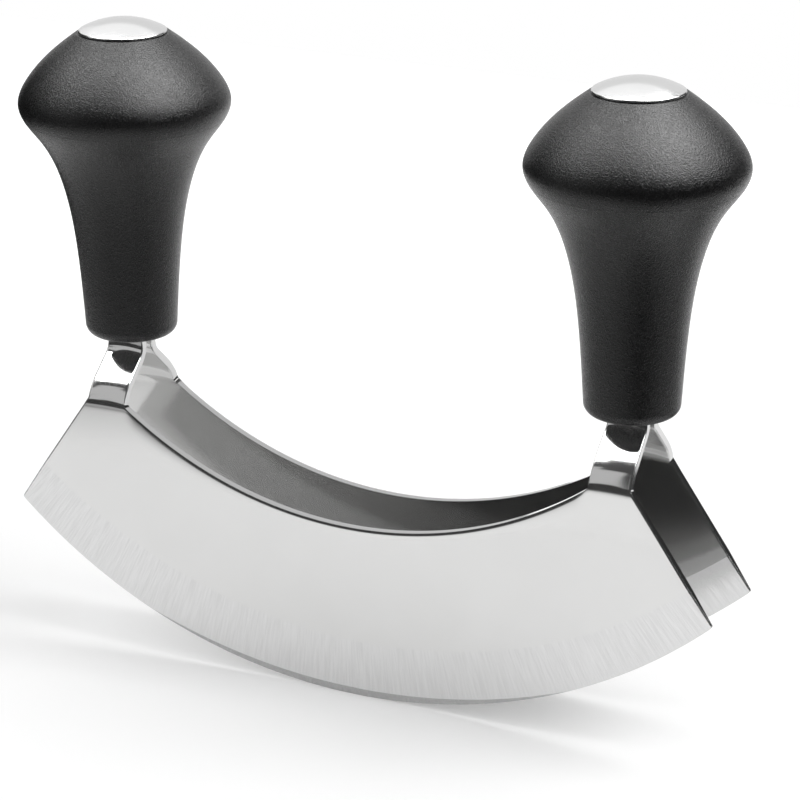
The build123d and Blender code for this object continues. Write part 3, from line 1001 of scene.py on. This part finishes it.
def set_camera():
    """Camera at the photograph's viewpoint, from its yaw, pitch and roll."""
    yaw, pitch, roll = (math.radians(a) for a in (CAMERA_YAW, CAMERA_PITCH, CAMERA_ROLL))
    forward = Vector((-math.sin(yaw) * math.cos(pitch), math.cos(yaw) * math.cos(pitch),
                      -math.sin(pitch)))
    level = forward.cross(Vector((0, 0, 1))).normalized()
    upright = level.cross(forward)
    right = level * math.cos(roll) + upright * math.sin(roll)
    up = upright * math.cos(roll) - level * math.sin(roll)
    lens = bpy.data.cameras.new("photo_camera")
    lens.sensor_width = 36.0
    lens.lens = FOCAL_PIXELS / IMAGE_SIZE * lens.sensor_width
    lens.clip_start = 0.01
    lens.clip_end = 50.0
    camera = bpy.data.objects.new("photo_camera", lens)
    bpy.context.scene.collection.objects.link(camera)
    axes = Matrix((right, up, -forward)).transposed().to_4x4()
    camera.matrix_world = Matrix.Translation(Vector(CAMERA_PLACE) * MM) @ axes
    bpy.context.scene.camera = camera


UP, DOWN = (0, 0, 1), (0, 0, -1)
REARWARD, FRONTWARD = (0, 1, 0), (0, -1, 0)
RIGHTWARD, LEFTWARD = (1, 0, 0), (-1, 0, 0)
flat_card("floor", (0, 60, 0), 1000, 1000, UP, floor_material(), False)

# Name, brightness, centre, width, height and facing of the cards that only the steel and knobs see
STUDIO_CARDS = (
    ("table_left", 0.03, (-560, 200, 1), 600, 800, UP),
    ("table_right", 0.03, (620, 150, 1), 760, 700, UP),
    ("table_rear_right", 0.03, (105, 115, 1), 90, 90, UP),
    ("table_near_right", 0.03, (550, -100, 1), 900, 120, UP),
    ("table_front_right", 0.03, (540, -530, 1.5), 1000, 740, UP),
    ("table_patch", 0.45, (-240, -270, 2), 150, 140, UP),
    ("front_dark", 0.03, (0, -900, 120), 2600, 240, REARWARD),
    ("front_wall_low", 0.62, (-450, -900, 545), 400, 610, REARWARD),
    ("front_wall_middle", 0.62, (-712.5, -900, 385), 125, 290, REARWARD),
    ("front_wall_left", 0.62, (-895, -900, 890), 490, 720, REARWARD),
    ("front_wall_right", 0.62, (-450, -900, 940), 400, 180, REARWARD),
    ("front_shade_right", 0.04, (525, -900, 845), 1550, 1210, REARWARD),
    ("front_shade_left", 0.04, (-1037.5, -900, 385), 525, 290, REARWARD),
    ("front_shade_far", 0.04, (-1220, -900, 945), 160, 610, REARWARD),
    ("front_gap_right", 0.05, (-300, -900, 1240), 700, 420, REARWARD),
    ("front_gap_left", 0.05, (-1050, -900, 1350), 800, 200, REARWARD),
    ("left_dark", 0.03, (-850, 150, 210), 1100, 420, RIGHTWARD),
    ("right_dark", 0.03, (1000, 0, 380), 1600, 760, LEFTWARD),
    ("ceiling_gap_right", 0.05, (-300, -750, 1450), 700, 300, DOWN),
    ("ceiling_gap_left", 0.05, (-1050, -830, 1450), 800, 140, DOWN),
    ("ceiling_gap_far", 0.05, (700, -690, 1450), 1300, 420, DOWN),
    ("ceiling_front_left", 13.0, (-1150, -240, 1451), 300, 880, DOWN),
    ("ceiling_front", 7.0, (-475, -240, 1451), 1050, 880, DOWN),
    ("left_gap", 0.05, (-1400, 110, 870), 620, 900, RIGHTWARD),
    ("ceiling_front_right", 8.5, (925, -140, 1451), 1750, 680, DOWN),
    ("ceiling_rear", 1.12, (-800, 850, 1450), 2000, 1300, DOWN),
    ("ceiling_rear_right", 7.5, (1000, 700, 1450), 1600, 1000, DOWN),
    ("rear_bright", 3.2, (925, 900, 1090), 650, 720, FRONTWARD),
    ("rear_gap_middle", 0.05, (600, 890, 590), 640, 280, FRONTWARD),
    ("rear_gap_high", 0.05, (440, 1250, 1150), 520, 600, FRONTWARD),
    ("rear_wall", 0.80, (-300, 900, 400), 1400, 900, FRONTWARD),
    ("rear_right_gap", 0.04, (600, 880, 200), 900, 500, FRONTWARD),
)
for card_name, level, centre, width, height, facing in STUDIO_CARDS:
    flat_card(card_name, centre, width, height, facing, card_material(card_name, level), True)
table_edge = card_material("table_front", 0.03, near=(-150, -290, 1.10))
flat_card("table_front", (-480, -505, 1), 1040, 750, UP, table_edge, True)
set_world()
soft_lamp("key_softbox", (480, 80, 920), (0, 0, 60), 600, KEY_WATTS)
set_camera()
bpy.context.scene.view_settings.view_transform = "Standard"
